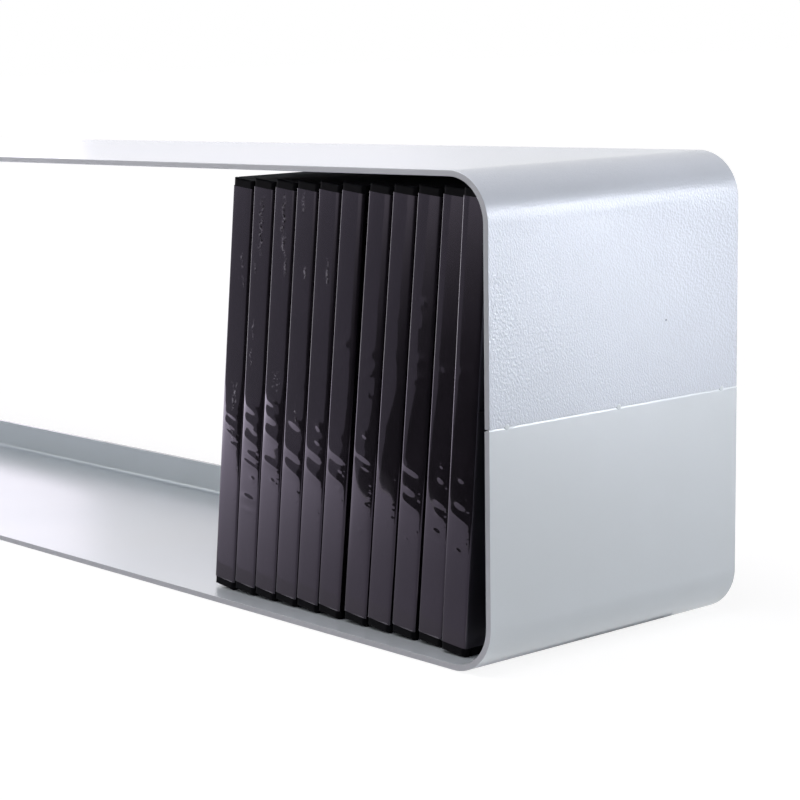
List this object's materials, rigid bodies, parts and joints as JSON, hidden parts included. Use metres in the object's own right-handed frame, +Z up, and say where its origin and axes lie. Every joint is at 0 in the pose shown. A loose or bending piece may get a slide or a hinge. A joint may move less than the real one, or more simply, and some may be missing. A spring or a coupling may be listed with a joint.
{
  "type": "dvd wall shelf",
  "caption": "Long open-fronted wall shelf bent from pale powder-coated sheet, with a rear upstand and a row of slim black disc cases leaning at one end.",
  "frame": {"origin": "middle of the underside, halfway along the length and the depth", "axes": "+X along the length towards the end where the cases stand, +Y towards the wall, -Y the open front, +Z up"},
  "size_m": [1, 0.15, 0.2],
  "materials": {
    "powder_coat": "pale silver powder coat, satin, fine orange peel",
    "case_black": "black moulded polypropylene, fine grain",
    "clear_film": "clear glossy film over black plastic, lightly wrinkled"
  },
  "bodies": {
    "shelf": {"lower_shell": "powder_coat", "upper_shell": "powder_coat", "right_tack_welds": "powder_coat", "left_tack_welds": "powder_coat"},
    "disc_case_01": {"case_01": "case_black", "sleeve_01": "clear_film"},
    "disc_case_02": {"case_02": "case_black", "sleeve_02": "clear_film"},
    "disc_case_03": {"case_03": "case_black", "sleeve_03": "clear_film"},
    "disc_case_04": {"case_04": "case_black", "sleeve_04": "clear_film"},
    "disc_case_05": {"case_05": "case_black", "sleeve_05": "clear_film"},
    "disc_case_06": {"case_06": "case_black", "sleeve_06": "clear_film"},
    "disc_case_07": {"case_07": "case_black", "sleeve_07": "clear_film"},
    "disc_case_08": {"case_08": "case_black", "sleeve_08": "clear_film"},
    "disc_case_09": {"case_09": "case_black", "sleeve_09": "clear_film"},
    "disc_case_10": {"case_10": "case_black", "sleeve_10": "clear_film"},
    "disc_case_11": {"case_11": "case_black", "sleeve_11": "clear_film"}
  },
  "joints": [
    {"name": "slide_01", "type": "slide", "parent": "shelf", "child": "disc_case_01", "axis": [0, -1, 0], "range_m": [0, 0.148]},
    {"name": "slide_02", "type": "slide", "parent": "shelf", "child": "disc_case_02", "axis": [0, -1, 0], "range_m": [0, 0.148]},
    {"name": "slide_03", "type": "slide", "parent": "shelf", "child": "disc_case_03", "axis": [0, -1, 0], "range_m": [0, 0.148]},
    {"name": "slide_04", "type": "slide", "parent": "shelf", "child": "disc_case_04", "axis": [0, -1, 0], "range_m": [0, 0.148]},
    {"name": "slide_05", "type": "slide", "parent": "shelf", "child": "disc_case_05", "axis": [0, -1, 0], "range_m": [0, 0.148]},
    {"name": "slide_06", "type": "slide", "parent": "shelf", "child": "disc_case_06", "axis": [0, -1, 0], "range_m": [0, 0.148]},
    {"name": "slide_07", "type": "slide", "parent": "shelf", "child": "disc_case_07", "axis": [0, -1, 0], "range_m": [0, 0.148]},
    {"name": "slide_08", "type": "slide", "parent": "shelf", "child": "disc_case_08", "axis": [0, -1, 0], "range_m": [0, 0.148]},
    {"name": "slide_09", "type": "slide", "parent": "shelf", "child": "disc_case_09", "axis": [0, -1, 0], "range_m": [0, 0.148]},
    {"name": "slide_10", "type": "slide", "parent": "shelf", "child": "disc_case_10", "axis": [0, -1, 0], "range_m": [0, 0.148]},
    {"name": "slide_11", "type": "slide", "parent": "shelf", "child": "disc_case_11", "axis": [0, -1, 0], "range_m": [0, 0.148]}
  ]
}
